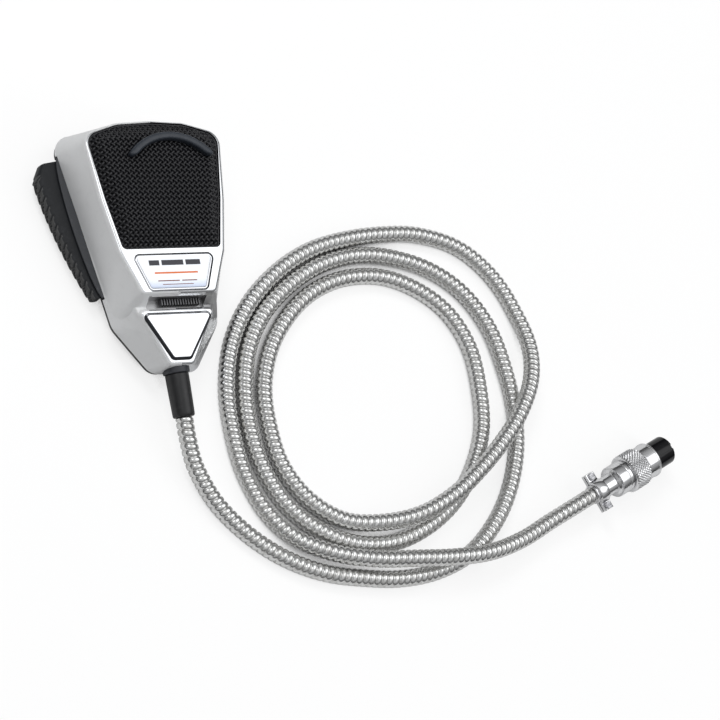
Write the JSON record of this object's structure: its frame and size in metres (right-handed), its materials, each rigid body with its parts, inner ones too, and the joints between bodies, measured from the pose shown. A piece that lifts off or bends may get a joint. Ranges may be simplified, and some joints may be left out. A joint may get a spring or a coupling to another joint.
{
  "type": "hand microphone",
  "caption": "Hand microphone with a chrome front shell, black woven grille, press-to-talk side bar, armoured steel lead and a screw-on plug.",
  "frame": {"origin": "middle of the microphone's own footprint, lead and plug left out, on the surface that it lies on", "axes": "+Y along the microphone towards the top of its grille, +Z out of its grille, +X away from the press-to-talk bar; the lead leaves towards -Y"},
  "size_m": [0.3063, 0.2163, 0.037],
  "materials": {
    "chrome_shell": "bright plated casting with a satin side",
    "rear_black": "fine moulded texture",
    "screw_steel": "zinc plated",
    "button_steel": "turned",
    "grille_black": "satin black woven wire",
    "cloth_black": "acoustic cloth",
    "guard_grey": "satin dark blue grey",
    "plate_silver": "printed silver foil",
    "bar_black": "satin black",
    "strip_grey": "satin dark grey",
    "switch_black": "moulded",
    "plunger_ivory": "moulded",
    "contact_brass": "plated",
    "capsule_metal": "spun",
    "gasket_rubber": "matte",
    "board_green": "lacquered",
    "parts_brown": "dipped",
    "cable_grey": "matte",
    "clamp_metal": "pressed",
    "sleeve_black": "smooth satin",
    "armour_steel": "bright wound steel",
    "plug_chrome": "bright plated",
    "insert_black": "polished"
  },
  "bodies": {
    "microphone": {"front_shell": "chrome_shell", "rear_cover": "rear_black", "housing_screws": "screw_steel", "hanger_button": "button_steel", "hanger_screw": "screw_steel", "hanger_nut": "screw_steel", "grille": "grille_black", "grille_cloth": "cloth_black", "lip_guard": "guard_grey", "nameplate": "plate_silver", "ptt_bezel": "strip_grey", "ptt_pivot_pin": "screw_steel", "ptt_spring": "screw_steel", "switch_body": "switch_black", "switch_terminals": "contact_brass", "mic_cartridge": "capsule_metal", "cartridge_gasket": "gasket_rubber", "circuit_board": "board_green", "board_parts": "parts_brown", "board_screws": "screw_steel", "inner_cable": "cable_grey", "cable_clamp": "clamp_metal", "clamp_screws": "screw_steel", "cord_collar": "sleeve_black", "strain_relief": "sleeve_black", "armoured_cord": "armour_steel", "plug_shell": "plug_chrome", "plug_saddle": "plug_chrome", "saddle_screws": "screw_steel", "plug_insert": "insert_black", "plug_contacts": "contact_brass"},
    "talk_bar": {"ptt_bar": "bar_black"},
    "plunger": {"switch_plunger": "plunger_ivory"},
    "thrust_washer": {"nut_washer": "plug_chrome"},
    "plug_nut": {"coupling_nut": "plug_chrome"}
  },
  "joints": [
    {"name": "talk_press", "type": "hinge", "parent": "microphone", "child": "talk_bar", "pos_m": [-0.02057, -0.01433, 0.008], "axis": [0, 0, -1], "range_deg": [0, 4.5], "stiffness_Nm_per_rad": 1.2, "springref_deg": -3.44, "deforming": ["ptt_spring"]},
    {"name": "plunger_slide", "type": "slide", "parent": "microphone", "child": "plunger", "axis": [0.9872, 0.1594, 0], "range_m": [0, 0.0026]},
    {"name": "nut_slide", "type": "slide", "parent": "microphone", "child": "thrust_washer", "axis": [0.9239, 0.3827, 0], "range_m": [0, 0.008]},
    {"name": "nut_turn", "type": "hinge", "parent": "thrust_washer", "child": "plug_nut", "pos_m": [0.2351, -0.11553, 0.0096], "axis": [0.9239, 0.3827, 0], "continuous": true}
  ],
  "couplings": [
    {"joint": "plunger_slide", "follows": "talk_press", "m_per_rad": 0.031}
  ]
}
